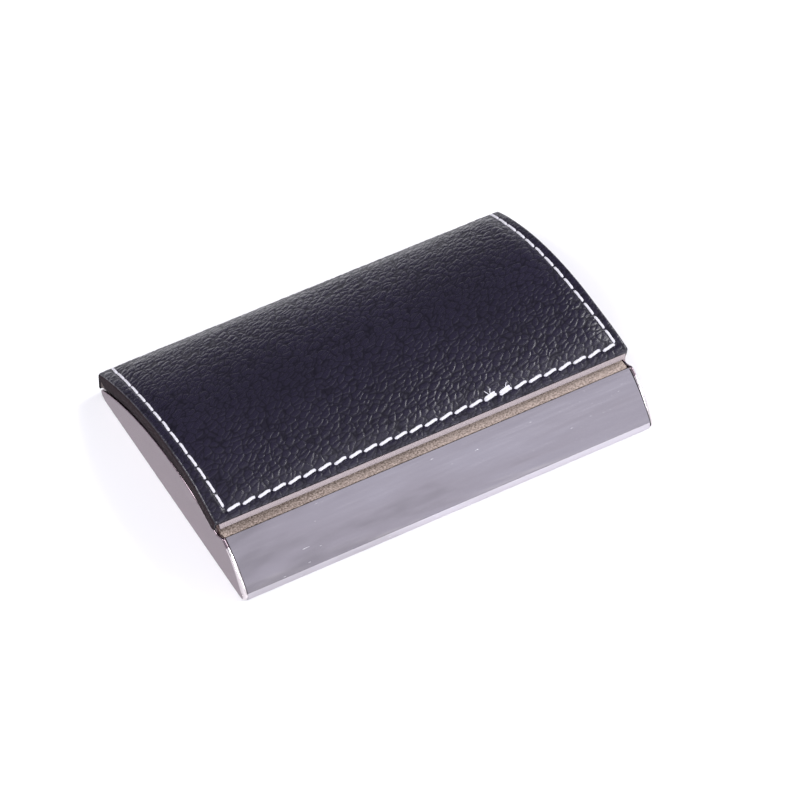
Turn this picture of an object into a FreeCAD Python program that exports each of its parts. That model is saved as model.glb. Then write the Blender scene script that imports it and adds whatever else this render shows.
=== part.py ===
import FreeCAD, Part
import math
import os

# Business card case: a sheet-metal base with two end caps and a domed, leather-covered lid that
# turns on a piano hinge along the back. Millimetres, +X along the length, +Y to the back, +Z up.
# The origin is under the middle of the closed case, on the surface it rests on.

# ---- driving dimensions -------------------------------------------------------------------
LENGTH = 95.0             # over the end caps
Y_SHIFT = -0.3            # the section below is drawn from the dome's own datum, then centred
CAP_T = 0.75              # end cap sheet
CAP_EDGE_R = 0.3          # rounding of the end caps' outer edges
PLATE_T = 0.6             # base plate and front panel sheet
TRAY_T = 0.5              # tray sheet
LID_T = 0.5               # lid sheet
SEAM = 0.15               # seam between the front panel or ledge and each end cap

# dome of the end caps: one large arc
DOME_R = 68.0
DOME_Y = -3.6             # where the dome is highest
DOME_TOP = 11.5

# front of the base
FRONT_Y = -32.0           # end caps' front
LIP_Y = -31.75            # base plate's upturned lip, outside
LIP_TOP = 2.5
LIP_BEND = 1.0            # outside radius of the bend between bottom and lip
PANEL_SEAM = 0.05         # front panel's lower edge above the lip
CORNER_R = 2.2            # end caps' lower front corner
RIDGE = (-22.7, 10.5)     # top of the sloped front
FRONT_BULGE = 0.9         # how far the sloped front of a cap stands off its chord
PANEL_BULGE = 0.75        # the same for the polished panel between the caps
PANEL_BELOW_RIDGE = 0.1
VALLEY_Y = -20.4          # the caps' outline dips here, in front of the lid
LEDGE_TOP = 9.95
LEDGE_FRONT = -22.15
LEDGE_BACK = -18.6
LEDGE_HEM = 1.55          # the ledge's rear edge is turned down by this much

# card tray
TRAY_FRONT = -26.0
TRAY_FRONT_TOP = 6.4
TRAY_FLOOR_END = 19.6
TRAY_WALL_END = 28.0
WALL_BELOW_DOME = 0.7
LINING_T = 0.4
LINING_FRONT = -25.4

# hinge
AXIS_Y = 30.1
AXIS_Z = 1.7
KNUCKLE_R = 1.1
PIN_R = 0.5
PIN_EDGE_R = 0.15
PIN_OVERHANG = 1.0        # pin beyond the last knuckle at each end
RUNNING_CLEARANCE = 0.06
LEAF_T = 0.4
HINGE_LENGTH = 88.0
KNUCKLES = 11
KNUCKLE_GAP = 0.2
KNUCKLE_RELIEF = 1.45     # other parts stay this far from the pin's centre
BASE_LEAF_FRONT = 19.8
TAIL_R = 1.3              # end caps' rounded tail around the pin
TAIL_TUCK = 0.02
TAIL_FLAT = 0.5           # the caps' straight bottom edge ends this far in front of the pin
RIVET_R = 0.9
RIVET_Y = 24.0
RIVET_X = (-36.0, -12.0, 12.0, 36.0)

# magnetic catch
MAGNET = (12.0, 2.2, 1.5)
CATCH_X = 28.0
MAGNET_Y = -21.4
MAGNET_EDGE_R = 0.2
KEEPER = (12.0, 1.3, 1.1)
KEEPER_Z = 10.7

# lid: gap between the dome and the lid's side flange at the front, middle and back
LID_GAPS = ((-20.2, 0.35), (4.0, 0.6), (31.2, 0.9))
LID_HALF = 47.3
LID_FRONT = -20.2
LID_BACK = 31.7
FLANGE = 2.65             # depth of the lid's flanges, skin included
FRONT_FLANGE_LOW = 11.1
THUMB_LIP = 0.48          # the front flange thickens downwards by this much, to lift the lid by
BACK_FLANGE_LOW = 2.0
FLANGE_CUT = 1.0          # how far the lid is cut open below the dome
TAIL_CLEARANCE = 0.25     # the back flange is cut away around the end caps' tails
LID_LINING_T = 0.3
LINING_INSET = 0.2        # linings end this far from the walls
BOARD_T = 0.3
BOARD_BACK = 0.5          # board ends this far in front of the lid's back
PADDING_T = 0.4
LEATHER_T = 0.5
LEATHER_FRONT = -20.7
LEATHER_BACK_T = 0.9
SKIRT_LOW = 0.2           # the leather covers the lid's side flanges down to this rise
LEATHER_CORNER_R = 0.8
STITCH_FRONT = 2.3        # front row to the leather's front edge
STITCH_LEFT = 2.5         # side rows to the leather's ends
STITCH_RIGHT = 2.1
PADDING_INSET = 1.0       # padding ends this far inside the rows
RAISED_INSET = 0.3        # and the leather over it rises from here
STITCH_LENGTH = 3.0
STITCH_R = 0.3
STITCH_SLANT = 0.4
FRONT_STITCHES = 26
LEFT_STITCHES = 14
RIGHT_STITCHES = 13
SIDE_ROW_INSET = 0.4      # side rows start this far behind the front row and end as far from the back
STITCH_RISE = 0.05        # thread's centre above the leather

HALF = LENGTH / 2
CAP_IN = HALF - CAP_T
SHEET_HALF = CAP_IN - SEAM


# ---- small helpers ------------------------------------------------------------------------
class Dome:
    """A large arc in the YZ plane, with points and arcs at any rise above it."""

    def __init__(self, centre_y, centre_z, radius):
        self.y = centre_y
        self.z = centre_z
        self.r = radius

    def at(self, y, rise=0.0):
        radius = self.r + rise
        return (y, self.z + math.sqrt(radius ** 2 - (y - self.y) ** 2))

    def arc(self, y_from, y_to, rise=0.0):
        return ("arc", self.at((y_from + y_to) / 2, rise), self.at(y_to, rise))


def vector(point, x=0.0):
    return FreeCAD.Vector(x, point[0] + Y_SHIFT, point[1])


def section(path):
    """Closed face in the YZ plane; a path item is a point or ("arc", through, end)."""
    edges = []
    start = path[0]
    here = start
    for item in list(path[1:]) + [start]:
        is_arc = item[0] == "arc"
        end = item[2] if is_arc else item
        if is_arc:
            edges.append(Part.Arc(vector(here), vector(item[1]), vector(end)).toShape())
        elif math.dist(here, end) > 1e-6:
            edges.append(Part.LineSegment(vector(here), vector(end)).toShape())
        here = end
    return Part.Face(Part.Wire(edges))


def extrude(path, x_low, x_high):
    face = section(path)
    face.translate(FreeCAD.Vector(x_low, 0, 0))
    return face.extrude(FreeCAD.Vector(x_high - x_low, 0, 0))


def box(x, y, z):
    return Part.makeBox(x[1] - x[0], y[1] - y[0], z[1] - z[0], FreeCAD.Vector(x[0], y[0] + Y_SHIFT, z[0]))


def rod(radius, x_low, x_high):
    """Cylinder along the hinge axis."""
    return Part.makeCylinder(radius, x_high - x_low, vector((AXIS_Y, AXIS_Z), x_low), FreeCAD.Vector(1, 0, 0))


def bulge_arc(start, end, bulge):
    """Arc from start to end that stands off its chord to the outside, to the left of the way up."""
    run = (end[0] - start[0], end[1] - start[1])
    length = math.hypot(*run)
    middle = ((start[0] + end[0]) / 2, (start[1] + end[1]) / 2)
    return ("arc", (middle[0] - bulge * run[1] / length, middle[1] + bulge * run[0] / length), end)


def quarter(corner, radius):
    """Rounding of the lower front corner, from the bottom up to the front."""
    inset = radius * (1 - math.sqrt(0.5))
    return ("arc", (corner[0] + inset, corner[1] + inset), (corner[0], corner[1] + radius))


def about_axis(radius, degrees):
    angle = math.radians(degrees)
    return (AXIS_Y + radius * math.cos(angle), AXIS_Z + radius * math.sin(angle))


def dome_through(gaps):
    points = []
    for y, gap in gaps:
        points.append(FreeCAD.Vector(0, y, cap_dome.at(y)[1] + gap))
    circle = Part.Circle(*points)
    return Dome(circle.Center.y, circle.Center.z, circle.Radius)


cap_dome = Dome(DOME_Y, DOME_TOP - DOME_R, DOME_R)
lid_dome = dome_through(LID_GAPS)
SKIN_TOP = FLANGE
SKIN_LOW = FLANGE - LID_T
BOARD_TOP = SKIN_TOP + BOARD_T
LEATHER_TOP = BOARD_TOP + LEATHER_T


# ---- base ---------------------------------------------------------------------------------
def end_cap(side):
    """Flat plate with the case's outline; its outer edges are rounded."""
    tip = cap_dome.at(AXIS_Y + TAIL_R - TAIL_TUCK)
    path = [
        (FRONT_Y + CORNER_R, 0.0),
        quarter((FRONT_Y, 0.0), CORNER_R),
        bulge_arc((FRONT_Y, CORNER_R), RIDGE, FRONT_BULGE),
        cap_dome.at(VALLEY_Y),
        cap_dome.arc(VALLEY_Y, tip[0]),
        ("arc", about_axis(TAIL_R, -45), about_axis(TAIL_R, -80)),
        (AXIS_Y - TAIL_FLAT, 0.0),
    ]
    if side < 0:
        cap = extrude(path, -HALF, -CAP_IN)
    else:
        cap = extrude(path, CAP_IN, HALF)
    outer = [edge for edge in cap.Edges if abs(edge.CenterOfMass.x - side * HALF) < 1e-6]
    return cap.makeFillet(CAP_EDGE_R, outer)


def base_plate():
    """Flat bottom sheet whose front edge turns up as a narrow lip."""
    inside = LIP_Y + PLATE_T
    inner_r = LIP_BEND - PLATE_T
    path = [
        (AXIS_Y - KNUCKLE_RELIEF, 0.0),
        (LIP_Y + LIP_BEND, 0.0),
        quarter((LIP_Y, 0.0), LIP_BEND),
        (LIP_Y, LIP_TOP),
        (inside, LIP_TOP),
        (inside, LIP_BEND),
        ("arc", quarter((inside, PLATE_T), inner_r)[1], (LIP_Y + LIP_BEND, PLATE_T)),
        (AXIS_Y - KNUCKLE_RELIEF, PLATE_T),
    ]
    plate = extrude(path, -SHEET_HALF, SHEET_HALF)
    for x in RIVET_X:
        plate = plate.cut(base_rivet(x))
    return plate


def front_panel():
    """Polished sloped sheet, slightly convex, with a leg that stands on the base plate behind the lip."""
    low = (LIP_Y, LIP_TOP + PANEL_SEAM)
    top = (RIDGE[0], RIDGE[1] - PANEL_BELOW_RIDGE)
    outer = bulge_arc(low, top, PANEL_BULGE)
    chord = math.hypot(top[0] - low[0], top[1] - low[1])
    chord_angle = math.atan2(top[1] - low[1], top[0] - low[0])
    half_turn = 2 * math.atan(2 * PANEL_BULGE / chord)
    radius = chord / (2 * math.sin(half_turn))
    normal = (-math.sin(chord_angle), math.cos(chord_angle))
    centre = (outer[1][0] - radius * normal[0], outer[1][1] - radius * normal[1])
    end_turn = chord_angle + math.pi / 2 - half_turn
    inner_r = radius - PLATE_T

    def inner_at(turn):
        return (centre[0] + inner_r * math.cos(turn), centre[1] + inner_r * math.sin(turn))

    leg_out = LIP_Y + PLATE_T
    leg_in = leg_out + PLATE_T
    leg_turn = math.acos((leg_in - centre[0]) / inner_r)
    path = [
        low,
        outer,
        inner_at(end_turn),
        ("arc", inner_at((end_turn + leg_turn) / 2), inner_at(leg_turn)),
        (leg_in, PLATE_T),
        (leg_out + LIP_BEND - PLATE_T, PLATE_T),
        (leg_out, LIP_BEND),
        (leg_out, low[1]),
    ]
    return extrude(path, -SHEET_HALF, SHEET_HALF)


def tray_profile():
    low = PLATE_T
    top = LEDGE_TOP
    under = LEDGE_TOP - TRAY_T
    slope = math.atan2(under - TRAY_FRONT_TOP, LEDGE_FRONT - TRAY_FRONT)
    bend_in = TRAY_T * math.tan((math.pi / 2 - slope) / 2)
    top_in = TRAY_T / math.tan((math.pi - slope) / 2)
    return [
        (TRAY_FLOOR_END, low),
        (TRAY_FRONT, low),
        (TRAY_FRONT, TRAY_FRONT_TOP),
        (LEDGE_FRONT, under),
        (LEDGE_FRONT, top),
        (LEDGE_BACK, top),
        (LEDGE_BACK, top - LEDGE_HEM),
        (LEDGE_BACK - TRAY_T, top - LEDGE_HEM),
        (LEDGE_BACK - TRAY_T, under),
        (LEDGE_FRONT + top_in, under),
        (TRAY_FRONT + TRAY_T, TRAY_FRONT_TOP - bend_in),
        (TRAY_FRONT + TRAY_T, low + TRAY_T),
        (TRAY_FLOOR_END, low + TRAY_T),
    ]


def card_tray():
    """Satin sheet tray: floor, front wall, the ledge behind the ridge and two side walls."""
    tray = extrude(tray_profile(), -SHEET_HALF, SHEET_HALF)
    side = [
        (TRAY_FRONT, PLATE_T),
        (TRAY_FRONT, TRAY_FRONT_TOP),
        (LEDGE_FRONT, LEDGE_TOP - TRAY_T),
        (LEDGE_BACK, LEDGE_TOP - TRAY_T),
        cap_dome.at(LEDGE_BACK, -WALL_BELOW_DOME),
        cap_dome.arc(LEDGE_BACK, TRAY_WALL_END, -WALL_BELOW_DOME),
        (TRAY_WALL_END, PLATE_T),
    ]
    tray = tray.fuse(extrude(side, -CAP_IN, -CAP_IN + TRAY_T))
    tray = tray.fuse(extrude(side, CAP_IN - TRAY_T, CAP_IN))
    return tray.removeSplitter()


def tray_lining():
    half = CAP_IN - TRAY_T - LINING_INSET
    low = PLATE_T + TRAY_T
    return box((-half, half), (LINING_FRONT, TRAY_WALL_END), (low, low + LINING_T))


def magnet(side):
    """Bar magnet stuck under the ledge; its lower edges are rounded."""
    length, width, height = MAGNET
    x = side * CATCH_X
    top = LEDGE_TOP - TRAY_T
    bar = box((x - length / 2, x + length / 2), (MAGNET_Y, MAGNET_Y + width), (top - height, top))
    lower = [edge for edge in bar.Edges if edge.CenterOfMass.z < top - MAGNET_EDGE_R / 2]
    return bar.makeFillet(MAGNET_EDGE_R, lower)


# ---- hinge --------------------------------------------------------------------------------
def knuckle_spans(first):
    """Length of every second knuckle, starting with the first or the second."""
    pitch = HINGE_LENGTH / KNUCKLES
    spans = []
    for index in range(first, KNUCKLES, 2):
        start = -HINGE_LENGTH / 2 + index * pitch
        spans.append((start + KNUCKLE_GAP / 2, start + pitch - KNUCKLE_GAP / 2))
    return spans


def base_rivet(x):
    centre = FreeCAD.Vector(x, RIVET_Y + Y_SHIFT, 0)
    return Part.makeCylinder(RIVET_R, PLATE_T + LEAF_T, centre)


def hinge_base_leaf():
    """Flat leaf on the base plate, with every second knuckle."""
    low = AXIS_Z - KNUCKLE_R
    half = HINGE_LENGTH / 2
    leaf = box((-half, half), (BASE_LEAF_FRONT, AXIS_Y - KNUCKLE_RELIEF), (low, low + LEAF_T))
    for start, end in knuckle_spans(0):
        leaf = leaf.fuse(rod(KNUCKLE_R, start, end))
        leaf = leaf.fuse(box((start, end), (AXIS_Y - KNUCKLE_RELIEF, AXIS_Y), (low, low + LEAF_T)))
    leaf = leaf.cut(rod(PIN_R, -half, half))
    for x in RIVET_X:
        leaf = leaf.cut(base_rivet(x))
    return leaf.removeSplitter()


def hinge_lid_leaf():
    """Upright leaf against the inside of the lid's back flange, with the other knuckles."""
    back = AXIS_Y + KNUCKLE_R
    half = HINGE_LENGTH / 2
    top = lid_dome.at(back, SKIN_LOW)[1] - LID_LINING_T
    leaf = box((-half, half), (back - LEAF_T, back), (AXIS_Z + KNUCKLE_RELIEF, top))
    for start, end in knuckle_spans(1):
        leaf = leaf.fuse(rod(KNUCKLE_R, start, end))
        leaf = leaf.fuse(box((start, end), (back - LEAF_T, back), (AXIS_Z, AXIS_Z + KNUCKLE_RELIEF)))
    leaf = leaf.cut(rod(PIN_R + RUNNING_CLEARANCE, -half, half))
    return leaf.removeSplitter()


def hinge_pin():
    half = HINGE_LENGTH / 2 + PIN_OVERHANG
    pin = rod(PIN_R, -half, half)
    ends = [edge for edge in pin.Edges if abs(abs(edge.CenterOfMass.x) - half) < 1e-6]
    return pin.makeFillet(PIN_EDGE_R, ends)


def hinge_rivets():
    return [base_rivet(x) for x in RIVET_X]


# ---- lid ----------------------------------------------------------------------------------
def lid_plate():
    """Domed steel skin with narrow flanges all round."""
    outside = [
        lid_dome.at(LID_FRONT),
        lid_dome.at(LID_FRONT, SKIN_TOP),
        lid_dome.arc(LID_FRONT, LID_BACK, SKIN_TOP),
        (LID_BACK, BACK_FLANGE_LOW),
        (LID_BACK - LID_T, BACK_FLANGE_LOW),
        lid_dome.at(LID_BACK - LID_T),
        lid_dome.arc(LID_BACK - LID_T, LID_FRONT),
    ]
    inside = [
        lid_dome.at(LID_FRONT + LID_T, -FLANGE_CUT),
        lid_dome.at(LID_FRONT + LID_T, SKIN_LOW),
        lid_dome.arc(LID_FRONT + LID_T, LID_BACK - LID_T, SKIN_LOW),
        lid_dome.at(LID_BACK - LID_T, -FLANGE_CUT),
        lid_dome.arc(LID_BACK - LID_T, LID_FRONT + LID_T, -FLANGE_CUT),
    ]
    inner_half = LID_HALF - LID_T
    plate = extrude(outside, -LID_HALF, LID_HALF)
    plate = plate.cut(extrude(inside, -inner_half, inner_half))
    front_relief = box((-inner_half, inner_half), (LID_FRONT - 1, LID_FRONT + 1), (0, FRONT_FLANGE_LOW))
    plate = plate.cut(front_relief)
    lip = [
        lid_dome.at(LID_FRONT, SKIN_TOP),
        (LID_FRONT - THUMB_LIP, FRONT_FLANGE_LOW),
        (LID_FRONT, FRONT_FLANGE_LOW),
    ]
    plate = plate.fuse(extrude(lip, -inner_half, inner_half))
    for side in (-1, 1):
        ends = sorted((side * (CAP_IN - TAIL_CLEARANCE), side * HALF))
        plate = plate.cut(box(ends, (LID_BACK - 1, LID_BACK + 1), (0, lid_dome.at(LID_BACK)[1])))
    return plate.removeSplitter()


def layer(x, y, rise_low, rise_high):
    """Part of the dome between two rises, over the spans x and y."""
    y_low, y_high = y
    path = [
        lid_dome.at(y_low, rise_low),
        lid_dome.at(y_low, rise_high),
        lid_dome.arc(y_low, y_high, rise_high),
        lid_dome.at(y_high, rise_low),
        lid_dome.arc(y_high, y_low, rise_low),
    ]
    return extrude(path, x[0], x[1])


def lid_board():
    half = HALF - LEATHER_T
    return layer((-half, half), (LEATHER_FRONT + LEATHER_T, LID_BACK - BOARD_BACK), SKIN_TOP, BOARD_TOP)


def within_rows(inset):
    """Spans in x and y inside the rows of stitches."""
    x = (-HALF + STITCH_LEFT + inset, HALF - STITCH_RIGHT - inset)
    return x, (LEATHER_FRONT + STITCH_FRONT + inset, LID_BACK - inset)


def lid_padding():
    x, y = within_rows(PADDING_INSET)
    return layer(x, y, BOARD_TOP, BOARD_TOP + PADDING_T)


def lid_leather():
    """Skin over the board and padding, turned down at the lid's back and ends."""
    back = LID_BACK + LEATHER_BACK_T
    path = [
        lid_dome.at(LEATHER_FRONT, SKIN_TOP),
        lid_dome.at(LEATHER_FRONT, LEATHER_TOP),
        lid_dome.arc(LEATHER_FRONT, back, LEATHER_TOP),
        (back, BACK_FLANGE_LOW),
        (LID_BACK, BACK_FLANGE_LOW),
        lid_dome.at(LID_BACK, SKIN_TOP),
        lid_dome.arc(LID_BACK, LEATHER_FRONT, SKIN_TOP),
    ]
    x, y = within_rows(RAISED_INSET)
    skin = extrude(path, -HALF, HALF)
    corner = vector(lid_dome.at(back, LEATHER_TOP))
    top_back = [edge for edge in skin.Edges if (edge.CenterOfMass - corner).Length < LEATHER_CORNER_R / 2]
    skin = skin.makeFillet(LEATHER_CORNER_R, top_back)
    skin = skin.fuse(layer(x, y, SKIN_TOP, LEATHER_TOP + PADDING_T))
    for ends in ((-HALF, -LID_HALF), (LID_HALF, HALF)):
        skin = skin.fuse(layer(ends, (LEATHER_FRONT, LID_BACK), SKIRT_LOW, LEATHER_TOP))
    skin = skin.cut(lid_board()).cut(lid_padding())
    return skin.removeSplitter()


def lid_lining():
    inset = LID_T + LINING_INSET
    half = LID_HALF - inset
    return layer((-half, half), (LID_FRONT + inset, LID_BACK - inset), SKIN_LOW - LID_LINING_T, SKIN_LOW)


def stitch(start, end):
    """One visible length of thread, half sunk in the leather."""
    run = end - start
    return Part.makeCylinder(STITCH_R, run.Length, start, run)


def front_row():
    rise = LEATHER_TOP + STITCH_RISE
    row_y = LEATHER_FRONT + STITCH_FRONT
    start_x = -HALF + STITCH_LEFT
    pitch = (LENGTH - STITCH_LEFT - STITCH_RIGHT) / FRONT_STITCHES
    stitches = []
    for index in range(FRONT_STITCHES):
        middle = start_x + (index + 0.5) * pitch
        low = vector(lid_dome.at(row_y - STITCH_SLANT, rise), middle - STITCH_LENGTH / 2)
        high = vector(lid_dome.at(row_y + STITCH_SLANT, rise), middle + STITCH_LENGTH / 2)
        stitches.append(stitch(low, high))
    return stitches


def side_row(x, count):
    rise = LEATHER_TOP + STITCH_RISE
    first_y = LEATHER_FRONT + STITCH_FRONT + SIDE_ROW_INSET
    pitch = (LID_BACK - SIDE_ROW_INSET - first_y) / count
    stitches = []
    for index in range(count):
        middle = first_y + (index + 0.5) * pitch
        half_run = STITCH_LENGTH / 2 * math.cos(math.asin((middle - lid_dome.y) / lid_dome.r))
        low = vector(lid_dome.at(middle - half_run, rise), x)
        high = vector(lid_dome.at(middle + half_run, rise), x)
        stitches.append(stitch(low, high))
    return stitches


def lid_thread():
    left = side_row(-HALF + STITCH_LEFT, LEFT_STITCHES)
    right = side_row(HALF - STITCH_RIGHT, RIGHT_STITCHES)
    return front_row() + left + right


def keeper(side):
    """Steel bar inside the lid's front flange, above the magnet."""
    length, width, height = KEEPER
    x = side * CATCH_X
    y = LID_FRONT + LID_T
    return box((x - length / 2, x + length / 2), (y, y + width), (KEEPER_Z, KEEPER_Z + height))


# ---- write one file per piece ---------------------------------------------------------------
def save(name, shape):
    solids = shape if isinstance(shape, list) else shape.Solids
    result = solids[0] if len(solids) == 1 else Part.makeCompound(solids)
    result.exportStep("parts/" + name + ".step")
    limits = result.BoundBox
    corners = (limits.XMin, limits.XMax, limits.YMin, limits.YMax, limits.ZMin, limits.ZMax)
    print(name, len(solids), round(result.Volume, 1), result.isValid(), [round(value, 2) for value in corners])


os.makedirs("parts", exist_ok=True)
save("base_plate", base_plate())
save("front_panel", front_panel())
save("end_cap_left", end_cap(-1))
save("end_cap_right", end_cap(1))
save("card_tray", card_tray())
save("tray_lining", tray_lining())
save("magnet_left", magnet(-1))
save("magnet_right", magnet(1))
save("hinge_base_leaf", hinge_base_leaf())
save("hinge_rivets", hinge_rivets())
save("hinge_pin", hinge_pin())
save("hinge_lid_leaf", hinge_lid_leaf())
save("lid_plate", lid_plate())
save("lid_board", lid_board())
save("lid_padding", lid_padding())
save("lid_leather", lid_leather())
save("lid_thread", lid_thread())
save("lid_lining", lid_lining())
save("keeper_left", keeper(-1))
save("keeper_right", keeper(1))
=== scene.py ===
import math
import random

import bpy
import numpy as np
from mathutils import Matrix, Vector, noise

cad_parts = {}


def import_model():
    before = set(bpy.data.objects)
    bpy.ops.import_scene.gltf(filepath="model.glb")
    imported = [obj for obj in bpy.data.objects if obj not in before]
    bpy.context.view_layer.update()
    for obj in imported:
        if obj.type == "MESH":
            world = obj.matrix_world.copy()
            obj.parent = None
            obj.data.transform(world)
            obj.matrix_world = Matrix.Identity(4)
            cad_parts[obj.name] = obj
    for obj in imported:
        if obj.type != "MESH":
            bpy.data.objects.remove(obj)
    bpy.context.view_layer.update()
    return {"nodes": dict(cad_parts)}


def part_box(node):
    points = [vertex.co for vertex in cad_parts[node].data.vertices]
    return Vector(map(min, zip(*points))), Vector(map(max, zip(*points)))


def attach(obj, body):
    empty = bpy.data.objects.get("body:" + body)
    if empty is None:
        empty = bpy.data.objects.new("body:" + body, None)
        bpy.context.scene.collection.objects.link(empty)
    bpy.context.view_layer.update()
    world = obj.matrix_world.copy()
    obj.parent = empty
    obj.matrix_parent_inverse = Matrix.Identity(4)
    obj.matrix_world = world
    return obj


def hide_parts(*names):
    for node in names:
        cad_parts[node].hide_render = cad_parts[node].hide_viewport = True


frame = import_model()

# Looks of the business card case: a satin and polished nickel case with a domed lid covered in
# navy pebbled leather and sewn with white thread. Metres, +X along the length, +Y to the hinge.

MM = 0.001
SEED = 7

# ---- camera -----------------------------------------------------------------------------------
CAMERA_AZIMUTH = -29.1
CAMERA_ELEVATION = 48.6
CAMERA_DISTANCE = 1.025
CAMERA_AIM = (5.2 * MM, -1.1 * MM, 1.6 * MM)
CAMERA_LENS = 224.0

# ---- leather cover ----------------------------------------------------------------------------
RIM_R = 0.6 * MM           # rounding where the leather turns over the board's edge
CORNER_R = 0.9 * MM        # the cover's front corners seen from above
CORNER_FLARE = 0.40 * MM   # they stand out this far, where the leather is folded double
FLARE_RUN = 14.0 * MM
BACK_R = 1.5 * MM          # rounding where the cover turns down at the back
SKIRT = 2.4 * MM           # the leather hangs this far over the lid's ends
SKIRT_T = 0.18 * MM        # thickness of that hanging edge
RIM_STEPS = 5
MESH_STEP = 0.16 * MM
ROW_FRONT = 2.3 * MM       # rows of stitches to the cover's edges
ROW_DIP = 0.4 * MM         # the front row comes this much nearer to the edge at its left end
ROW_LEFT = (3.05 * MM, 2.35 * MM, 3.6 * MM)    # at the back, the middle and the front
ROW_RIGHT = (2.1 * MM, 2.2 * MM, 1.75 * MM)
GROOVE_DEPTH = 0.20 * MM
GROOVE_WIDTH = 0.50 * MM
PUFF = 0.40 * MM           # how far the padding lifts the leather inside the stitches
PUFF_RUN = 3.4 * MM        # and over what distance it rises
BORDER_PUFF = 0.10 * MM
SLACK = 0.06 * MM          # height of the slow waves in the padded leather
PEBBLE = 1.1 * MM          # width of the leather's pebbles
PEBBLE_STRETCH = 1.9       # length over width
PEBBLE_HEIGHT = 0.125 * MM
PEBBLE_ROUND = 0.48        # how far each pebble is rounded, as a share of its width
PEBBLE_WANDER = 0.3        # how far the creases stray, as a share of the width
PEBBLE_SPLIT = 0.25        # depth of the finer creases that split the pebbles
PEBBLE_SPLIT_SCALE = 2.2   # the finer creases lie this many times closer together
PEBBLE_LEVEL = 0.6         # share of the pebbles' height that lies below the plain surface
GRAIN_TURN = math.radians(30)
PEBBLE_LAYER = "pebble"    # mesh attribute, 0 in the creases and 1 on the pebbles

# ---- stitching ----------------------------------------------------------------------------------
FRONT_STITCHES = 26
LEFT_STITCHES = 14
RIGHT_STITCHES = 13
FRONT_GAP = 0.16           # space between two stitches as a share of the pitch
SIDE_GAP = 0.11
STITCH_SLANT = 0.30 * MM
FRONT_THREAD_R = 0.33 * MM
SIDE_THREAD_R = 0.27 * MM
THREAD_PLIES = 3
THREAD_TWIST = 2.0         # turns per stitch
SEWN_BACK = (17, 18)       # front stitches sewn over a second time to finish the seam
SEWN_BACK_R = 0.28 * MM
WISP_R = 0.075 * MM

# ---- end caps -----------------------------------------------------------------------------------
EDGE_R = 0.3 * MM
FRONT_EDGE_R = 0.7 * MM    # the sloped front edge is rounded more, and most near the bottom
FRONT_EDGE_REACH = 1.4 * MM    # over this width of the flat face
SLOPE_START = (0.6 * MM, 2.2 * MM)     # heights over which the wide rounding begins
SLOPE_END = (2.5 * MM, 10.4 * MM)      # and over which it runs out
EDGE_STEPS = 7
PAINTED_HIGHLIGHT_FROM_R = 0.31 * MM    # a rounding wider than this gets the lighter nickel, a painted highlight
OUTLINE_STEP = 0.5 * MM
SMOOTH_BEND = math.radians(12)     # an outline's corners below this are smoothed

# ---- linings ------------------------------------------------------------------------------------
LINING_T = 0.28 * MM
LINING_STEP = 0.9 * MM
LINING_RIM = (-0.6 * MM, 0.5 * MM)     # distances from its rim over which it grows to that thickness
LINING_GAP = 0.02 * MM     # between the sheet and the metal under it
LINING_WAVE = 0.035 * MM

# ---- studio -------------------------------------------------------------------------------------
FLOOR_HALF = 3.0
FLOOR_DROP = 0.02 * MM     # the floor lies this far under the case
LIGHT_DISTANCE = 1.3


# ---- geometry helpers ---------------------------------------------------------------------------
def circle_through(a, b, c):
    """Centre and radius of the circle through three (y, z) points."""
    rows = [[b[0] - a[0], b[1] - a[1]], [c[0] - a[0], c[1] - a[1]]]
    right = [b[0] ** 2 + b[1] ** 2 - a[0] ** 2 - a[1] ** 2, c[0] ** 2 + c[1] ** 2 - a[0] ** 2 - a[1] ** 2]
    centre = np.linalg.solve(2 * np.array(rows), np.array(right))
    return float(centre[0]), float(centre[1]), math.dist(centre, a)


def top_circle(node, y_from, y_to):
    """Circle of a domed CAD node's upper edge at its right end, between two y values."""
    points = np.array([v.co for v in frame["nodes"][node].data.vertices])
    points = points[points[:, 0] > points[:, 0].max() - 0.05 * MM]
    picks = []
    for y in (y_from, (y_from + y_to) / 2, y_to):
        near = points[np.abs(points[:, 1] - y) < 2 * MM]
        best = near[np.argmax(near[:, 2] - 0.35 * np.abs(near[:, 1] - y))]
        picks.append((best[1], best[2]))
    return circle_through(*picks)


def smoothstep(low, high, value):
    t = min(max((value - low) / (high - low), 0.0), 1.0)
    return t * t * (3 - 2 * t)


def through(ends_and_middle, share):
    """Value of the parabola through the values at shares 0, 0.5 and 1."""
    a, b, c = ends_and_middle
    return a * (1 - share) * (1 - 2 * share) + 4 * b * share * (1 - share) + c * share * (2 * share - 1)


def spaced(low, high, step):
    count = max(2, round((high - low) / step))
    return [low + (high - low) * k / count for k in range(count + 1)]


def new_object(name, verts, faces, material, body):
    mesh = bpy.data.meshes.new(name)
    mesh.from_pydata([tuple(v) for v in verts], [], [tuple(f) for f in faces])
    mesh.validate()
    mesh.update()
    mesh.polygons.foreach_set("use_smooth", [len(face) <= 4 for face in faces])
    piece = bpy.data.objects.new(name, mesh)
    bpy.context.scene.collection.objects.link(piece)
    mesh.materials.append(material)
    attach(piece, body)
    return piece


# ---- materials ----------------------------------------------------------------------------------
def add_node(tree, kind, inputs, settings):
    """New shader node; an input is linked if it is given a socket, and set if given a value."""
    node = tree.nodes.new("ShaderNode" + kind)
    for key, value in settings.items():
        setattr(node, key, value)
    for key, value in inputs.items():
        if isinstance(value, bpy.types.NodeSocket):
            tree.links.new(value, node.inputs[key])
        else:
            node.inputs[key].default_value = value
    return node


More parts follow.
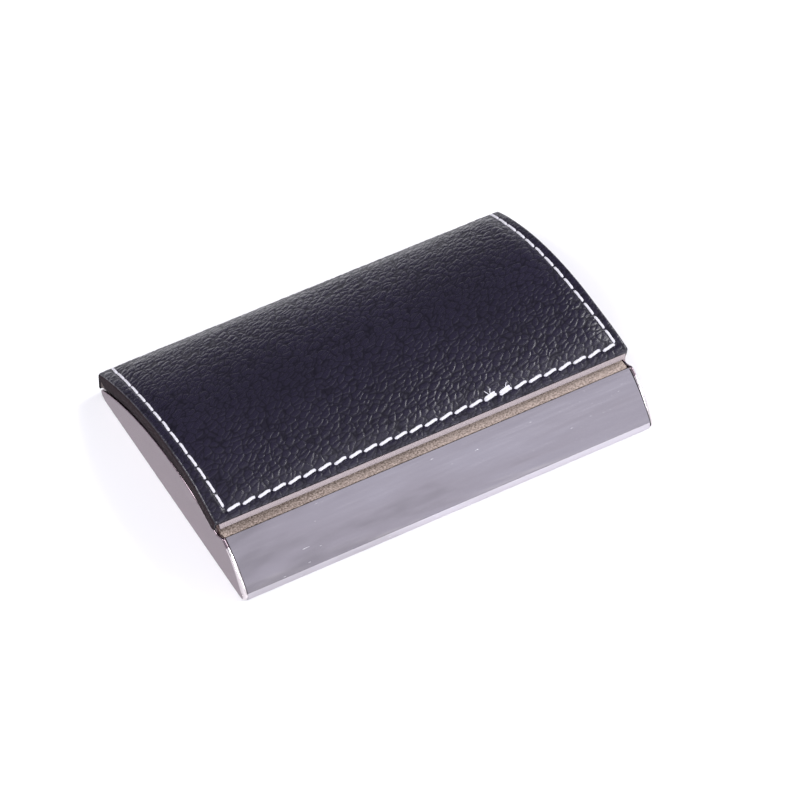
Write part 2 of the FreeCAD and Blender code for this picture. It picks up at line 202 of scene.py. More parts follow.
class Nodes:
    """A material's node tree with short calls for what the materials below share."""

    def __init__(self, name):
        self.material = bpy.data.materials.new(name)
        self.material.use_nodes = True
        self.tree = self.material.node_tree
        self.shader = self.tree.nodes["Principled BSDF"]
        self.coordinates = self.tree.nodes.new("ShaderNodeTexCoord").outputs["Object"]

    def add(self, kind, inputs=None, **settings):
        return add_node(self.tree, kind, inputs or {}, settings)

    def link(self, output, name):
        self.tree.links.new(output, self.shader.inputs[name])

    def set(self, values):
        for name, value in values.items():
            self.shader.inputs[name].default_value = value

    def stretched(self, scale, turn=0.0):
        inputs = {"Vector": self.coordinates, "Scale": scale, "Rotation": (0, 0, turn)}
        return self.add("Mapping", inputs).outputs[0]

    def noise(self, scale, detail=4.0, roughness=0.5, vector=None, distortion=0.0):
        inputs = {"Vector": vector or self.coordinates, "Scale": scale, "Detail": detail,
                  "Roughness": roughness, "Distortion": distortion}
        return self.add("TexNoise", inputs).outputs["Fac"]

    def cells(self, scale, feature, vector=None):
        inputs = {"Vector": vector or self.coordinates, "Scale": scale}
        return self.add("TexVoronoi", inputs, feature=feature).outputs["Distance"]

    def ramp(self, value, stops):
        node = self.add("ValToRGB", {"Fac": value})
        elements = node.color_ramp.elements
        while len(elements) < len(stops):
            elements.new(0.5)
        for element, (place, colour) in zip(elements, stops):
            element.position = place
            element.color = (*colour, 1)
        return node.outputs["Color"]

    def remap(self, value, low, high, to_low, to_high):
        inputs = {"Value": value, "From Min": low, "From Max": high, "To Min": to_low, "To Max": to_high}
        return self.add("MapRange", inputs).outputs["Result"]

    def math(self, operation, first, second):
        return self.add("Math", {0: first, 1: second}, operation=operation).outputs[0]

    def mix(self, share, first, second):
        return self.add("MixRGB", {"Fac": share, "Color1": first, "Color2": second}).outputs[0]

    def bump(self, height, strength, distance, normal=None):
        inputs = {"Height": height, "Strength": strength, "Distance": distance}
        if normal is not None:
            inputs["Normal"] = normal
        return self.add("Bump", inputs).outputs["Normal"]


def polished_nickel(name):
    """Mirror polish with slow waves from rolling, hairline scratches and a few nicks."""
    m = Nodes(name)
    flow = m.noise(34.0, 3.0, 0.55, m.stretched((0.30, 1.5, 1.5), 0.12), 1.4)
    tones = [(0.36, (0.42, 0.395, 0.43)), (0.46, (0.51, 0.48, 0.525)), (0.64, (0.56, 0.535, 0.59))]
    tone = m.ramp(flow, tones)
    scratch_field = m.noise(900.0, 1.0, 0.5, m.stretched((0.5, 2.6, 2.6), 0.75), 0.2)
    scratches = m.remap(scratch_field, 0.768, 0.80, 0.0, 0.5)
    spots = m.remap(m.cells(900.0, "F1"), 0.04, 0.14, 1.0, 0.0)
    patches = m.remap(m.noise(38.0, 2.0), 0.57, 0.68, 0.0, 0.28)
    marks = m.math("MAXIMUM", scratches, m.math("MULTIPLY", spots, patches))
    m.link(m.mix(marks, tone, (0.92, 0.91, 0.94, 1)), "Base Color")
    hairs = m.noise(70.0, 6.0, 0.7, m.stretched((1.0, 25.0, 25.0)))
    polish = m.remap(hairs, 0.35, 0.7, 0.10, 0.24)
    m.link(m.math("MAXIMUM", polish, m.math("MULTIPLY", marks, 0.6)), "Roughness")
    m.set({"Metallic": 1.0})
    normal = m.bump(flow, 0.5, 0.0009)
    normal = m.bump(hairs, 0.08, 0.00002, normal)
    normal = m.bump(marks, 0.4, 0.00003, normal)
    m.link(normal, "Normal")
    return m.material


def satin_metal(name, dark, light, rough, grain_scale, grain_depth, metallic=1.0):
    """Plated steel with a fine even grain."""
    m = Nodes(name)
    m.set({"Metallic": metallic})
    cloud = m.noise(35.0, 4.0)
    grain = m.noise(grain_scale, 3.0, 0.6)
    shade = m.math("ADD", m.math("MULTIPLY", cloud, 0.25), m.math("MULTIPLY", grain, 0.75))
    m.link(m.ramp(shade, [(0.38, dark), (0.62, light)]), "Base Color")
    m.link(m.remap(grain, 0.3, 0.7, rough - 0.05, rough + 0.07), "Roughness")
    m.link(m.bump(grain, grain_depth, 0.00003), "Normal")
    return m.material


def leather_material():
    """Navy pebbled leather: fine wrinkles over the modelled pebbles, dull in the creases, whose colour is
    darkened as painted shade.
    """
    m = Nodes("leather_navy")
    pebble = m.add("Attribute", attribute_name=PEBBLE_LAYER).outputs["Fac"]
    grain = m.stretched((1.0, PEBBLE_STRETCH, 1.0), -GRAIN_TURN)
    wrinkles = m.cells(1900.0, "DISTANCE_TO_EDGE", grain)
    pores = m.noise(5200.0, 3.0, 0.6)
    cloud = m.noise(45.0, 3.0)
    tone = m.ramp(cloud, [(0.3, (0.0085, 0.0068, 0.0160)), (0.7, (0.0115, 0.0092, 0.0215))])
    # Painted shade: the base colour turns a deeper navy in the creases between the pebbles.
    m.link(m.mix(m.remap(pebble, 0.05, 0.6, 1.0, 0.0), tone, (0.0046, 0.0036, 0.0086, 1)), "Base Color")
    dull = m.remap(pebble, 0.05, 0.7, 0.16, 0.0)
    m.link(m.math("ADD", dull, m.remap(pores, 0.3, 0.7, 0.24, 0.32)), "Roughness")
    m.link(m.remap(pebble, 0.0, 0.55, 0.20, 0.58), "Specular IOR Level")
    normal = m.bump(wrinkles, 0.14, 0.00012)
    normal = m.bump(pores, 0.12, 0.00005, normal)
    m.link(normal, "Normal")
    return m.material


def leather_edge_material():
    """The leather's pared sides: matt and almost black."""
    m = Nodes("leather_edge")
    fibre = m.noise(2600.0, 4.0, 0.6)
    m.link(m.ramp(fibre, [(0.35, (0.013, 0.009, 0.011)), (0.65, (0.026, 0.018, 0.021))]), "Base Color")
    m.set({"Roughness": 0.8, "Specular IOR Level": 0.04})
    m.link(m.bump(fibre, 0.4, 0.00005), "Normal")
    return m.material


def thread_material():
    m = Nodes("thread_white")
    fibre = m.noise(5200.0, 5.0, 0.7)
    m.link(m.ramp(fibre, [(0.25, (0.44, 0.43, 0.48)), (0.65, (0.60, 0.59, 0.64))]), "Base Color")
    m.set({"Roughness": 0.75, "Sheen Weight": 0.2})
    m.link(m.bump(fibre, 0.5, 0.00006), "Normal")
    return m.material


def flock_material():
    m = Nodes("flock_black")
    pile = m.noise(7000.0, 4.0, 0.7)
    m.link(m.ramp(pile, [(0.3, (0.006, 0.006, 0.007)), (0.75, (0.026, 0.026, 0.029))]), "Base Color")
    m.set({"Roughness": 0.95, "Sheen Weight": 0.5, "Sheen Roughness": 0.4})
    m.link(m.bump(pile, 0.8, 0.0001), "Normal")
    return m.material


def board_material():
    m = Nodes("board_brown")
    fibre = m.noise(1500.0, 6.0, 0.7)
    m.link(m.ramp(fibre, [(0.3, (0.16, 0.12, 0.09)), (0.7, (0.26, 0.21, 0.17))]), "Base Color")
    m.set({"Roughness": 0.85})
    m.link(m.bump(fibre, 0.4, 0.00008), "Normal")
    return m.material


def floor_material():
    m = Nodes("studio_floor")
    mottle = m.noise(3.0, 2.0)
    m.link(m.ramp(mottle, [(0.3, (0.88, 0.88, 0.885)), (0.7, (0.90, 0.90, 0.905))]), "Base Color")
    m.set({"Roughness": 0.7, "Specular IOR Level": 0.2})
    return m.material


# ---- leather cover --------------------------------------------------------------------------------
class LeatherLine:
    """The cover's outer line in the YZ plane: over the dome, round the back and down."""

    def __init__(self):
        low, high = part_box("lid_leather")
        self.half = high.x
        self.front = low.y
        self.back = high.y
        self.bottom = low.z
        self.y, self.z, self.r = top_circle("lid_leather", self.front, self.back - 4 * MM)
        skin_r = top_circle("lid_plate", self.front + 1 * MM, self.back - 4 * MM)[2]
        self.thickness = self.r - skin_r
        self.back_thickness = high.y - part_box("lid_plate")[1].y
        turn_y = self.back - BACK_R
        turn_z = self.z + math.sqrt((self.r - BACK_R) ** 2 - (turn_y - self.y) ** 2)
        self.turn = (turn_y, turn_z)
        self.start = math.asin((self.front - self.y) / self.r)
        self.end = math.atan2(turn_y - self.y, turn_z - self.z)
        self.over = self.r * (self.end - self.start)
        self.round = BACK_R * (math.pi / 2 - self.end)
        self.length = self.over + self.round + turn_z - self.bottom

    def at(self, s):
        """Point and outward normal at distance s from the front edge."""
        if s <= self.over:
            angle = self.start + s / self.r
            normal = (math.sin(angle), math.cos(angle))
            return (self.y + self.r * normal[0], self.z + self.r * normal[1]), normal
        if s <= self.over + self.round:
            angle = self.end + (s - self.over) / BACK_R
            normal = (math.sin(angle), math.cos(angle))
            return (self.turn[0] + BACK_R * normal[0], self.turn[1] + BACK_R * normal[1]), normal
        down = s - self.over - self.round
        return (self.back, self.turn[1] - down), (1.0, 0.0)

    def depth(self, s):
        """Thickness from the outer line to the steel."""
        share = smoothstep(self.over - 1 * MM, self.over + self.round, s)
        return self.thickness + (self.back_thickness - self.thickness) * share


line = LeatherLine()


def row_x(side, s):
    """Where the side rows run, seen along the length."""
    share = min(max(s / line.over, 0.0), 1.0)
    margins = ROW_LEFT if side < 0 else ROW_RIGHT
    return side * (line.half - through(margins, 1 - share))


def row_s(x):
    """Where the front row runs, as a distance from the cover's front edge."""
    return ROW_FRONT - ROW_DIP * (1 - smoothstep(-line.half, -line.half / 2, x))


def rim_steps(start, sign):
    """Places close together where the surface rounds over an edge."""
    turns = [math.pi / 2 * k / RIM_STEPS for k in range(RIM_STEPS)]
    return [start + sign * RIM_R * (1 - math.cos(turn)) for turn in turns]


def pebbles(x, s):
    """Height of the leather's pebbles, 0 in the creases and 1 on top."""
    along = x * math.cos(GRAIN_TURN) + s * math.sin(GRAIN_TURN)
    across = s * math.cos(GRAIN_TURN) - x * math.sin(GRAIN_TURN)
    wander = noise.noise_vector(Vector((along, across, 0.0)) * 520.0)
    place = Vector((along / PEBBLE / PEBBLE_STRETCH, across / PEBBLE, 3.7)) + PEBBLE_WANDER * wander
    near = noise.voronoi(place)[0]
    whole = 1 - (1 - min((near[1] - near[0]) / PEBBLE_ROUND, 1.0)) ** 2
    near = noise.voronoi(place * PEBBLE_SPLIT_SCALE)[0]
    split = 1 - (1 - min((near[1] - near[0]) / PEBBLE_ROUND, 1.0)) ** 2
    return whole * (1 - PEBBLE_SPLIT * (1 - split))


def cover_height(x, s):
    """How far the cover stands above its border level at x and s."""
    to_side = abs(row_x(math.copysign(1, x), s)) - abs(x)
    inside = min(to_side, s - row_s(x))
    puff = PUFF * smoothstep(-0.2 * MM, PUFF_RUN, inside)
    border = BORDER_PUFF * smoothstep(0.0, 0.8 * MM, -inside)
    groove = -GROOVE_DEPTH * math.exp(-(inside / GROOVE_WIDTH) ** 2)
    slack = SLACK * noise.noise(Vector((x, s, 0.0)) * 90.0) * smoothstep(0, 6 * MM, inside)
    back_fade = 1.0 - smoothstep(line.over - 4 * MM, line.over + line.round, s)
    fade = 0.7 + 0.3 * smoothstep(0.0, 2.0 * MM, inside)
    broad = 0.85 + 0.4 * noise.noise(Vector((x, s, 5.0)) * 60.0)
    grain = PEBBLE_HEIGHT * fade * broad * (pebbles(x, s) - PEBBLE_LEVEL)
    return (puff + slack + border + groove) * back_fade + grain


def flare(s):
    return 1 + CORNER_FLARE / line.half * (1 - smoothstep(0, FLARE_RUN, s))


def rounded_corner(x, s):
    """Rounds the front corners seen from above; gives the point and its distance to the edge."""
    beyond_x = (abs(x) - (line.half - CORNER_R)) / CORNER_R
    beyond_s = (CORNER_R - s) / CORNER_R
    if beyond_x <= 0 or beyond_s <= 0:
        return x, s, min(line.half - abs(x), s)
    a = beyond_x * math.sqrt(1 - beyond_s ** 2 / 2)
    b = beyond_s * math.sqrt(1 - beyond_x ** 2 / 2)
    x = math.copysign(line.half - CORNER_R + a * CORNER_R, x)
    return x, CORNER_R * (1 - b), CORNER_R * (1 - math.hypot(a, b))


def leather_cover(material, edge_material):
    """The closed cover: pebbled top, sides that hang over the lid's ends, and a plain underside."""
    left = rim_steps(-line.half, 1)
    right = rim_steps(line.half, -1)[::-1]
    xs = left + spaced(-line.half + RIM_R, line.half - RIM_R, MESH_STEP) + right
    ss = rim_steps(0.0, 1) + spaced(RIM_R, line.over + line.round, MESH_STEP)
    ss += spaced(line.over + line.round, line.length, 0.5 * MM)[1:]
    columns = len(xs)
    rows = len(ss)
    verts = []
    tops = []
    for s_flat in ss:
        for x_flat in xs:
            x, s, edge = rounded_corner(x_flat, s_flat)
            tops.append(pebbles(x, s))
            point, normal = line.at(s)
            inset = max(0.0, 1 - edge / RIM_R)
            drop = RIM_R * (1 - math.sqrt(max(0.0, 1 - inset ** 2)))
            rise = cover_height(x, s) * (1 - inset ** 3) - drop
            verts.append((x * flare(s), point[0] + normal[0] * rise, point[1] + normal[1] * rise))
    faces = []
    for j in range(rows - 1):
        for i in range(columns - 1):
            a = j * columns + i
            faces.append((a, a + 1, a + columns + 1, a + columns))

    def under(i, j):
        """Adds the vertex under the grid's point i, j on the steel's side."""
        x, s = rounded_corner(xs[i], ss[j])[:2]
        point, normal = line.at(s)
        depth = line.depth(s)
        verts.append((x * flare(s), point[0] - normal[0] * depth, point[1] - normal[1] * depth))
        return len(verts) - 1

    def skirt(i, j, inset):
        """Adds a vertex at the lower edge of the leather that hangs over the lid's end."""
        x, s = rounded_corner(xs[i], ss[j])[:2]
        x = math.copysign(abs(x) - inset, x)
        point, normal = line.at(s)
        hang = SKIRT * (1 - smoothstep(line.over - 2 * MM, line.over + line.round, s))
        depth = max(line.depth(s), line.thickness) + hang
        verts.append((x * flare(s), point[0] - normal[0] * depth, point[1] - normal[1] * depth))
        return len(verts) - 1

    last = columns - 1
    left_under = [under(0, j) for j in range(rows)]
    right_under = [under(last, j) for j in range(rows)]
    for side_under in (left_under, right_under):
        for index in side_under:
            x, y, z = verts[index]
            verts[index] = (math.copysign(abs(x) - SKIRT_T, x), y, z)
    front_under = [left_under[0]] + [under(i, 0) for i in range(1, last)] + [right_under[0]]
    back_under = [left_under[-1]] + [under(i, rows - 1) for i in range(1, last)] + [right_under[-1]]
    for i, inner, turned in ((0, left_under, False), (last, right_under, True)):
        low = [skirt(i, j, 0.0) for j in range(rows)]
        tucked = [skirt(i, j, SKIRT_T) for j in range(rows)]
        outer = [j * columns + i for j in range(rows)]
        for j in range(rows - 1):
            for a, b in ((outer, low), (low, tucked), (tucked, inner)):
                quad = (a[j + 1], b[j + 1], b[j], a[j])
                faces.append(quad[::-1] if turned else quad)
        for j, flip in ((0, turned), (rows - 1, not turned)):
            quad = (outer[j], low[j], tucked[j], inner[j])
            faces.append(quad[::-1] if flip else quad)
    end = (rows - 1) * columns
    for i in range(last):
        faces.append((i, front_under[i], front_under[i + 1], i + 1))
        faces.append((end + i + 1, back_under[i + 1], back_under[i], end + i))
    faces.append(tuple(front_under[::-1] + [left_under[1], right_under[1]]))
    for j in range(1, rows - 2):
        faces.append((left_under[j], left_under[j + 1], right_under[j + 1], right_under[j]))
    faces.append(tuple(back_under + [right_under[-2], left_under[-2]]))
    piece = new_object("leather_cover", verts, faces, material, "lid")
    tops += [0.0] * (len(verts) - len(tops))
    piece.data.attributes.new(PEBBLE_LAYER, "FLOAT", "POINT").data.foreach_set("value", tops)
    piece.data.materials.append(edge_material)
    for polygon in piece.data.polygons:
        if abs(polygon.normal.x) > 0.8 and abs(polygon.center.x) > line.half - SKIRT_T / 2:
            polygon.material_index = 1
    return piece


leather = leather_cover(leather_material(), leather_edge_material())
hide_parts("lid_leather", "lid_padding")


# ---- stitching ------------------------------------------------------------------------------------
class Thread:
    """Collects lengths of twisted thread as closed tubes."""

    def __init__(self):
        self.verts = []
        self.faces = []

    def tube(self, path, side, radius, turns=THREAD_TWIST, flat=0.85, sides=12):
        """path: points; side: unit vector across the thread that lies in the surface."""
        first = len(self.verts)
        count = len(path)
        for k, point in enumerate(path):
            ahead = path[min(k + 1, count - 1)] - path[max(k - 1, 0)]
            up = side.cross(ahead).normalized()
            across = ahead.cross(up).normalized()
            share = k / (count - 1)
            taper = 0.55 if k in (0, count - 1) else 1.0
            for j in range(sides):
                angle = 2 * math.pi * j / sides
                ply = 1 + 0.09 * math.cos(THREAD_PLIES * angle - 2 * math.pi * turns * share)
                r = radius * taper * ply
                self.verts.append(point + across * (r * math.cos(angle)) + up * (r * flat * math.sin(angle)))
        for k in range(count - 1):
            for j in range(sides):
                n = (j + 1) % sides
                a = first + k * sides
                self.faces.append((a + j, a + n, a + sides + n, a + sides + j))
        self.faces.append(tuple(first + j for j in reversed(range(sides))))
        last = first + (count - 1) * sides
        self.faces.append(tuple(last + j for j in range(sides)))


def on_cover(x, s, rise):
    """Point that stands off the cover's border level by rise."""
    point, normal = line.at(s)
    return Vector((x * flare(s), point[0] + normal[0] * rise, point[1] + normal[1] * rise))


def stitch(thread, start, end, radius, lift=0.0):
    """One stitch from hole to hole, given as (x, s) pairs; its ends dive into the leather."""
    steps = 18
    top = -GROOVE_DEPTH + 0.75 * radius + lift
    path = []
    for k in range(steps + 1):
        share = k / steps
        x = start[0] + (end[0] - start[0]) * share
        s = start[1] + (end[1] - start[1]) * share
        dive = abs(2 * share - 1) ** 9
        path.append(on_cover(x, s, top - 2.2 * radius * dive))
    normal = line.at((start[1] + end[1]) / 2)[1]
    side = (path[-1] - path[0]).cross(Vector((0, normal[0], normal[1]))).normalized()
    thread.tube(path, side, radius)


def wisp(thread, start, end, lift):
    """A loose end of thread that stands off the seam."""
    steps = 8
    path = []
    for k in range(steps + 1):
        share = k / steps
        x = start[0] + (end[0] - start[0]) * share
        s = start[1] + (end[1] - start[1]) * share + 0.12 * MM * math.sin(3 * share)
        path.append(on_cover(x, s, 0.15 * MM + lift * share))
    thread.tube(path, Vector((1, 0, 0)), WISP_R, turns=1.0, flat=1.0, sides=6)


def stitching(material):
    """All three rows; the front one is finished by sewing back over two of its stitches."""
    rng = random.Random(SEED)
    thread = Thread()
    left = row_x(-1, row_s(-line.half))
    pitch = (row_x(1, ROW_FRONT) - left) / FRONT_STITCHES
    middles = []
    for index in range(FRONT_STITCHES):
        middle = left + (index + 0.5) * pitch
        middles.append(middle)
        half = pitch * (1 - FRONT_GAP) / 2 * rng.uniform(0.95, 1.04)
        slant = STITCH_SLANT * rng.uniform(0.8, 1.2)
        s = row_s(middle) + rng.uniform(-0.05, 0.05) * MM
        stitch(thread, (middle - half, s - slant), (middle + half, s + slant), FRONT_THREAD_R)
    for index in SEWN_BACK:
        middle = middles[index]
        s = ROW_FRONT + 0.22 * MM
        stitch(thread, (middle - 1.3 * MM, s - 0.1 * MM), (middle + 1.25 * MM, s + 0.55 * MM),
               SEWN_BACK_R, 0.2 * MM)
    first, second = (middles[index] for index in SEWN_BACK)
    for middle, reach, height in ((first, -0.9, 0.5), (first, 0.5, 0.75), (second, 0.9, 0.4)):
        wisp(thread, (middle, ROW_FRONT + 0.3 * MM), (middle + reach * MM, ROW_FRONT + 1.5 * MM), height * MM)
    row_start = ROW_FRONT + 0.35 * MM
    row_end = line.over + 0.4 * MM
    for side, count in ((-1, LEFT_STITCHES), (1, RIGHT_STITCHES)):
        pitch = (row_end - row_start) / count
        for index in range(count):
            middle = row_start + (index + 0.5) * pitch
            half = pitch * (1 - SIDE_GAP) / 2 * rng.uniform(0.96, 1.03)
            slant = 0.06 * MM * rng.uniform(-0.4, 1.6)
            drift = rng.uniform(-0.05, 0.05) * MM
            start = (row_x(side, middle - half) - slant + drift, middle - half)
            end = (row_x(side, middle + half) + slant + drift, middle + half)
            stitch(thread, start, end, SIDE_THREAD_R)
    return new_object("stitching", thread.verts, thread.faces, material, "lid")


stitches = stitching(thread_material())
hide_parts("lid_thread")


# ---- end caps ---------------------------------------------------------------------------------------
def flat_outline(node, x):
    """Outline in (y, z) of a CAD node's flat face at x, in order."""
    mesh = frame["nodes"][node].data
    count = {}
    for polygon in mesh.polygons:
        corners = list(polygon.vertices)
        if any(abs(mesh.vertices[index].co.x - x) > 0.002 * MM for index in corners):
            continue
        keys = [(round(mesh.vertices[i].co.y, 7), round(mesh.vertices[i].co.z, 7)) for i in corners]
        for a, b in zip(keys, keys[1:] + keys[:1]):
            count[(a, b)] = count.get((a, b), 0) + 1
    ahead = {a: b for (a, b) in count if (b, a) not in count}
    start = next(iter(ahead))
    outline = [start]
    while ahead[outline[-1]] != start:
        outline.append(ahead[outline[-1]])
    return outline


def resampled(outline, step):
    """The same outline with more points; only corners sharper than SMOOTH_BEND stay sharp."""
    count = len(outline)
    corners = [Vector(point) for point in outline]
    points = []
    for k in range(count):
        before, a, b, after = (corners[(k + j) % count] for j in (-1, 0, 1, 2))
        run = b - a
        leave = b - before if run.angle(a - before) < SMOOTH_BEND else run
        arrive = after - a if run.angle(after - b) < SMOOTH_BEND else run
        leave = leave.normalized() * run.length
        arrive = arrive.normalized() * run.length
        parts = max(1, round(run.length / step))
        for j in range(parts):
            t = j / parts
            point = a * (2 * t ** 3 - 3 * t ** 2 + 1) + b * (3 * t ** 2 - 2 * t ** 3)
            points.append(point + leave * (t ** 3 - 2 * t ** 2 + t) + arrive * (t ** 3 - t ** 2))
    return [(point.x, point.y) for point in points]


def inward(points):
    """Vectors into an anticlockwise outline: of unit length, and longer at corners to mitre them."""
    result = []
    count = len(points)
    for k in range(count):
        before, here, after = points[k - 1], points[k], points[(k + 1) % count]
        first = Vector((here[0] - before[0], here[1] - before[1])).normalized()
        second = Vector((after[0] - here[0], after[1] - here[1])).normalized()
        normal = Vector((-first.y - second.y, first.x + second.x)).normalized()
        share = max(0.5, abs(normal.dot(Vector((-second.y, second.x)))))
        result.append(normal / share)
    return result


def end_cap(side, material, highlight_paint):
    """Pressed end of the case: flat outside, its edges rounded, most along the sloped front."""
    node = "end_cap_left" if side < 0 else "end_cap_right"
    low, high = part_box(node)
    x_in, x_out = (high.x, low.x) if side < 0 else (low.x, high.x)
    points = resampled(flat_outline(node, x_in), OUTLINE_STEP)
    area = sum(a[0] * b[1] - b[0] * a[1] for a, b in zip(points, points[1:] + points[:1]))
    if area < 0:
        points.reverse()
    into = inward(points)
    ridge_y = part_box("front_panel")[1].y
    radii = []
    reaches = []
    for y, z in points:
        on_slope = smoothstep(*SLOPE_START, z) * (1 - smoothstep(*SLOPE_END, z))
        on_slope = on_slope if y < ridge_y else 0.0
        radii.append(EDGE_R + (FRONT_EDGE_R - EDGE_R) * on_slope)
        reaches.append(EDGE_R + (FRONT_EDGE_REACH - EDGE_R) * on_slope)
    rings = [[(x_in, y, z) for y, z in points]]
    for step in range(EDGE_STEPS):
        turn = math.pi / 2 * step / (EDGE_STEPS - 1)
        ring = []
        for (y, z), normal, r, reach in zip(points, into, radii, reaches):
            inset = reach * (1 - math.cos(turn))
            ring.append((x_out - side * r * (1 - math.sin(turn)), y + normal.x * inset, z + normal.y * inset))
        rings.append(ring)
    verts = [point for ring in rings for point in ring]
    count = len(points)
    faces = []
    for k in range(len(rings) - 1):
        for j in range(count):
            n = (j + 1) % count
            quad = (k * count + j, k * count + n, (k + 1) * count + n, (k + 1) * count + j)
            faces.append(quad if side > 0 else quad[::-1])
    inner = tuple(range(count))
    outer = tuple((len(rings) - 1) * count + j for j in range(count))
    faces.append(inner[::-1] if side > 0 else inner)
    faces.append(outer if side > 0 else outer[::-1])
    piece = new_object(node + "_pressed", verts, faces, material, "base")
    piece.data.materials.append(highlight_paint)
    # The wide rounding along the sloped front gets the lighter nickel as a painted highlight.
    for k in range(count * (len(rings) - 1)):
        if radii[k % count] > PAINTED_HIGHLIGHT_FROM_R:
            piece.data.polygons[k].material_index = 1
    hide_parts(node)


cap_finish = satin_metal("satin_nickel", (0.205, 0.158, 0.185), (0.240, 0.190, 0.215), 0.20, 2500.0, 0.03)
# A lighter copy of the cap's nickel: a painted highlight for the rounded front edge.
cap_highlight_paint = satin_metal("nickel_painted_highlight", (0.58, 0.53, 0.55), (0.66, 0.61, 0.63), 0.20, 2500.0, 0.03)
end_cap(-1, cap_finish, cap_highlight_paint)
end_cap(1, cap_finish, cap_highlight_paint)


# ---- linings ----------------------------------------------------------------------------------------
def lining(name, node, body, width, length, place, material):
    """Flocked sheet; place(u, v) gives its lower point and its normal, u and v from 0 to 1."""
    across = round(width / LINING_STEP)
    along = round(length / LINING_STEP)
    verts = []
    for layer in (1, 0):
        for j in range(along + 1):
            for i in range(across + 1):
                u, v = i / across, j / along
                point, normal = place(u, v)
                edge = min(u * width, (1 - u) * width, v * length, (1 - v) * length)
                rise = LINING_T * smoothstep(*LINING_RIM, edge)
                rise += LINING_WAVE * noise.noise(Vector((u * width, v * length, 0)) * 160.0)
                verts.append(point + normal * (rise if layer else LINING_GAP))
    faces = []
    columns = across + 1
    total = columns * (along + 1)
    for j in range(along):
        for i in range(across):
            a = j * columns + i
            faces.append((a, a + 1, a + columns + 1, a + columns))
            faces.append(tuple(total + k for k in (a + columns, a + columns + 1, a + 1, a)))
    rim = list(range(columns)) + [j * columns + across for j in range(1, along + 1)]
    rim += [along * columns + i for i in range(across - 1, -1, -1)]
    rim += [j * columns for j in range(along - 1, 0, -1)]
    for a, b in zip(rim, rim[1:] + rim[:1]):
        faces.append((b, a, total + a, total + b))
    piece = new_object(name, verts, faces, material, body)
    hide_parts(node)


def linings():
    flock = flock_material()
    low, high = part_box("tray_lining")

    def on_tray(u, v):
        return Vector((low.x + (high.x - low.x) * u, low.y + (high.y - low.y) * v, low.z)), Vector((0, 0, 1))

    lining("tray_flock", "tray_lining", "base", high.x - low.x, high.y - low.y, on_tray,
           flock)
    low_lid, high_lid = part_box("lid_lining")
    y, z, r = top_circle("lid_lining", low_lid.y, high_lid.y)
    start = math.asin((low_lid.y - y) / r)
    end = math.asin((high_lid.y - y) / r)

    def in_lid(u, v):
        angle = start + (end - start) * v
        normal = Vector((0, math.sin(angle), math.cos(angle)))
        return Vector((high_lid.x + (low_lid.x - high_lid.x) * u, y, z)) + normal * r, -normal

    lining("lid_flock", "lid_lining", "lid", high_lid.x - low_lid.x, r * (end - start), in_lid,
           flock)


linings()


# ---- CAD parts that stay as drawn ---------------------------------------------------------------------
def give(material, *nodes):
    for node in nodes:
        mesh = frame["nodes"][node].data
        mesh.materials.clear()
        mesh.materials.append(material)


give(polished_nickel("polished_nickel"), "base_plate", "front_panel")
give(satin_metal("tray_satin", (0.15, 0.11, 0.09), (0.56, 0.46, 0.41), 0.62, 2600.0, 0.9, 0.35), "card_tray")
give(satin_metal("lid_satin", (0.36, 0.305, 0.315), (0.41, 0.355, 0.365), 0.28, 2200.0, 0.15), "lid_plate")
hinge_finish = satin_metal("hinge_steel", (0.48, 0.48, 0.49), (0.56, 0.56, 0.57), 0.3, 3000.0, 0.2)
give(hinge_finish, "hinge_base_leaf", "hinge_rivets", "hinge_pin", "hinge_lid_leaf")
give(satin_metal("keeper_steel", (0.42, 0.42, 0.43), (0.50, 0.50, 0.51), 0.4, 2600.0, 0.3),
     "keeper_left", "keeper_right")
give(satin_metal("magnet_plate", (0.58, 0.58, 0.59), (0.64, 0.64, 0.65), 0.22, 2600.0, 0.15),
     "magnet_left", "magnet_right")
give(board_material(), "lid_board")


def paint_shade(node, material, is_shaded):
    """Paints shade: gives the darker material to the node's faces that the given test picks."""
    mesh = frame["nodes"][node].data
    mesh.materials.append(material)
    for polygon in mesh.polygons:
        if is_shaded(polygon.normal):
            polygon.material_index = 1


# A dark copy of the steel: painted shade for faces that lie in shadow.
steel_painted_shade = satin_metal("steel_painted_shade", (0.075, 0.055, 0.052), (0.12, 0.09, 0.085), 0.5, 1800.0, 0.4)
paint_shade("lid_plate", steel_painted_shade, lambda normal: abs(normal.x) > 0.7)            # painted shade on its side flanges, which lie in shadow beside the end caps
paint_shade("front_panel", steel_painted_shade, lambda normal: normal.y > 0.3 and normal.z > 0.3)     # painted shade on its cut upper edge, a dark shadow line under the ledge


# ---- floor, lights and camera ---------------------------------------------------------------------------
def studio_floor():
    mesh = bpy.data.meshes.new("studio_floor")
    half = FLOOR_HALF
    corners = [(-half, -half, 0), (half, -half, 0), (half, half, 0), (-half, half, 0)]
    mesh.from_pydata(corners, [], [(0, 1, 2, 3)])
    floor = bpy.data.objects.new("studio_floor", mesh)
    bpy.context.scene.collection.objects.link(floor)
    mesh.materials.append(floor_material())
    floor.location.z = -FLOOR_DROP


def area_light(name, direction, size, power, colour=(1, 1, 1)):
    """Soft square lamp, turned to the object from the given direction."""
    data = bpy.data.lights.new(name, "AREA")
    data.shape = "SQUARE"
    data.size = size
    data.energy = power
    data.color = colour
    light = bpy.data.objects.new(name, data)
    toward = Vector(direction).normalized()
    light.location = toward * LIGHT_DISTANCE
    light.rotation_euler = toward.to_track_quat("Z", "Y").to_euler()
    bpy.context.scene.collection.objects.link(light)


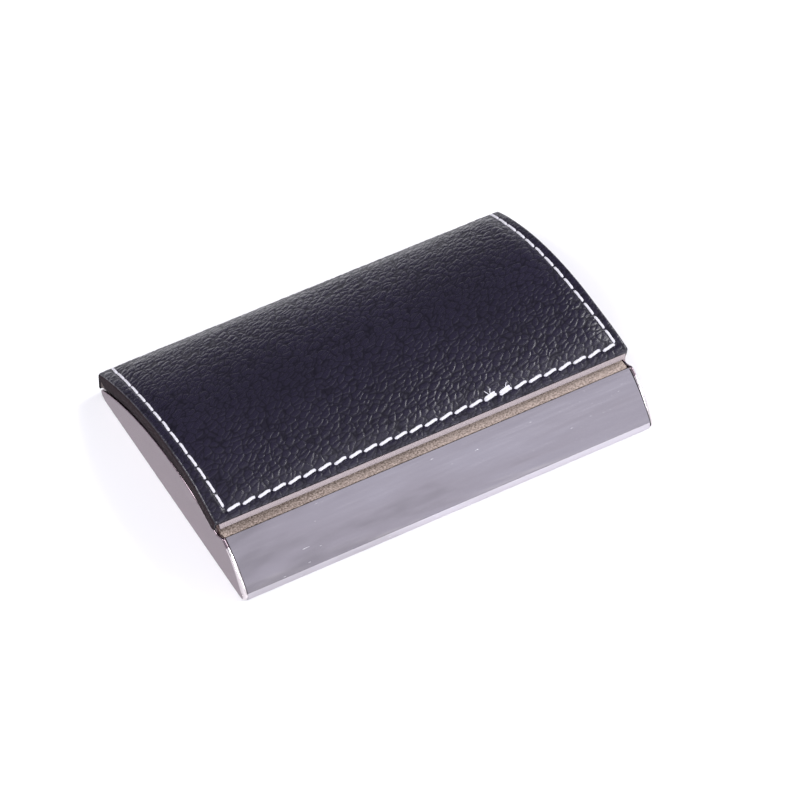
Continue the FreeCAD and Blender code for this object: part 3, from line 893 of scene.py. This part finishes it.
def world():
    """Studio surround: light grey in front, fading over the top to dark behind.

    The horizon is white in front and at the sides.
    """
    sky = bpy.data.worlds.new("studio")
    bpy.context.scene.world = sky
    sky.use_nodes = True
    tree = sky.node_tree

    def add(kind, inputs, **settings):
        return add_node(tree, kind, inputs, settings).outputs[0]

    def fade(value, start, end, to_start, to_end):
        inputs = {"Value": value, "From Min": start, "From Max": end, "To Min": to_start, "To Max": to_end}
        return add("MapRange", inputs, interpolation_type="SMOOTHSTEP")

    split = tree.nodes.new("ShaderNodeSeparateXYZ")
    tree.links.new(tree.nodes.new("ShaderNodeTexCoord").outputs["Generated"], split.inputs[0])
    front = fade(split.outputs["Y"], 0.62, -0.50, 0.0, 1.0)
    horizon = fade(split.outputs["Z"], 0.04, 0.36, 1.0, 0.0)
    open_side = fade(split.outputs["Y"], 0.35, -0.10, 0.12, 1.0)
    low = add("Math", {0: horizon, 1: open_side}, operation="MULTIPLY")
    above = add("MixRGB", {"Fac": front, "Color1": (0.14, 0.13, 0.18, 1), "Color2": (0.70, 0.69, 0.76, 1)})
    around = add("MixRGB", {"Fac": low, "Color1": above, "Color2": (1.0, 1.0, 1.0, 1)})
    tree.links.new(around, tree.nodes["Background"].inputs["Color"])


def camera():
    azimuth = math.radians(CAMERA_AZIMUTH)
    elevation = math.radians(CAMERA_ELEVATION)
    level = math.cos(elevation)
    away = Vector((math.sin(azimuth) * level, -math.cos(azimuth) * level, math.sin(elevation)))
    data = bpy.data.cameras.new("camera")
    data.lens = CAMERA_LENS
    data.clip_start = 0.01
    eye = bpy.data.objects.new("camera", data)
    eye.location = Vector(CAMERA_AIM) + away * CAMERA_DISTANCE
    eye.rotation_euler = away.to_track_quat("Z", "Y").to_euler()
    bpy.context.scene.collection.objects.link(eye)
    bpy.context.scene.camera = eye


studio_floor()
world()
area_light("key_right", (0.74, 0.02, 0.67), 0.6, 10.0)
area_light("fill_back_left", (-0.75, 0.35, 0.60), 0.5, 9.5)
area_light("fill_front_left", (-0.50, -0.75, 0.50), 0.5, 12.0, (0.97, 0.98, 1.0))
area_light("fill_front_right", (0.75, -0.40, 0.53), 0.28, 8.0, (0.96, 0.98, 1.0))
camera()
bpy.context.scene.view_settings.view_transform = "Standard"
